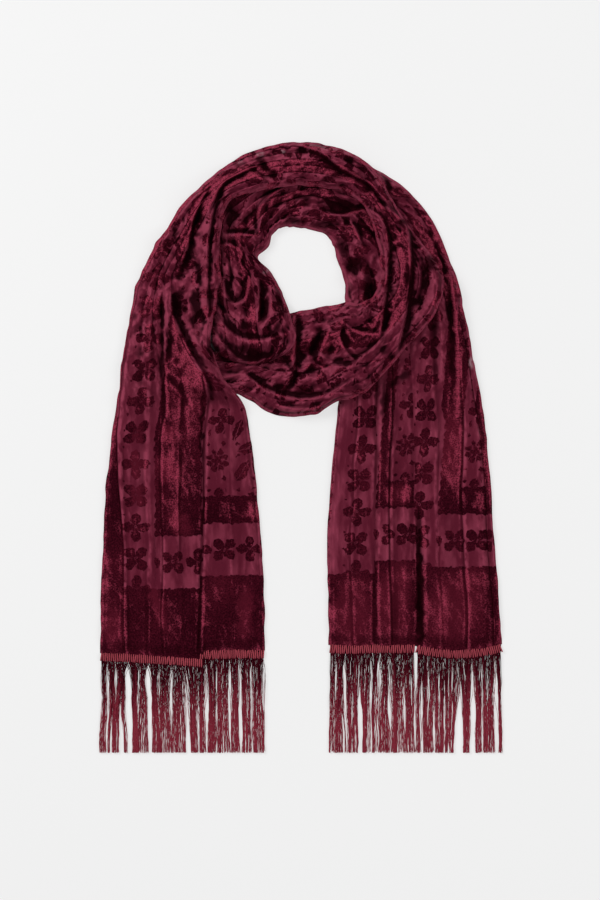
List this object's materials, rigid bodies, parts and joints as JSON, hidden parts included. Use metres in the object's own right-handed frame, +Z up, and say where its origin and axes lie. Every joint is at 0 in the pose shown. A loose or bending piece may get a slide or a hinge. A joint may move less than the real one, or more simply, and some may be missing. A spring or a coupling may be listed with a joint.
{
  "type": "velvet scarf",
  "caption": "Burgundy burn-out velvet scarf, wound into a ring and laid flat, with two folded tails that end in ribbed braid and silky fringe.",
  "frame": {"origin": "middle of the laid scarf's box, on the surface that it lies on", "axes": "+Z up off the surface, the fringed tails point along -Y and the ring along +Y, +X to the right as seen from above"},
  "size_m": [0.422, 0.6421, 0.0291],
  "materials": {
    "velvet": "burn-out velvet, crushed pile on a sheer ground",
    "fringe": "ribbed braid and silky fringe"
  },
  "bodies": {
    "root": {"right_tail": "velvet", "loop_under": "velvet", "loop_left": "velvet", "loop_front": "velvet", "loop_over": "velvet", "left_tail": "velvet", "left_fringe_upper": "fringe", "left_fringe_lower": "fringe", "right_fringe_left": "fringe", "right_fringe_middle": "fringe", "right_fringe_right": "fringe"}
  },
  "joints": []
}
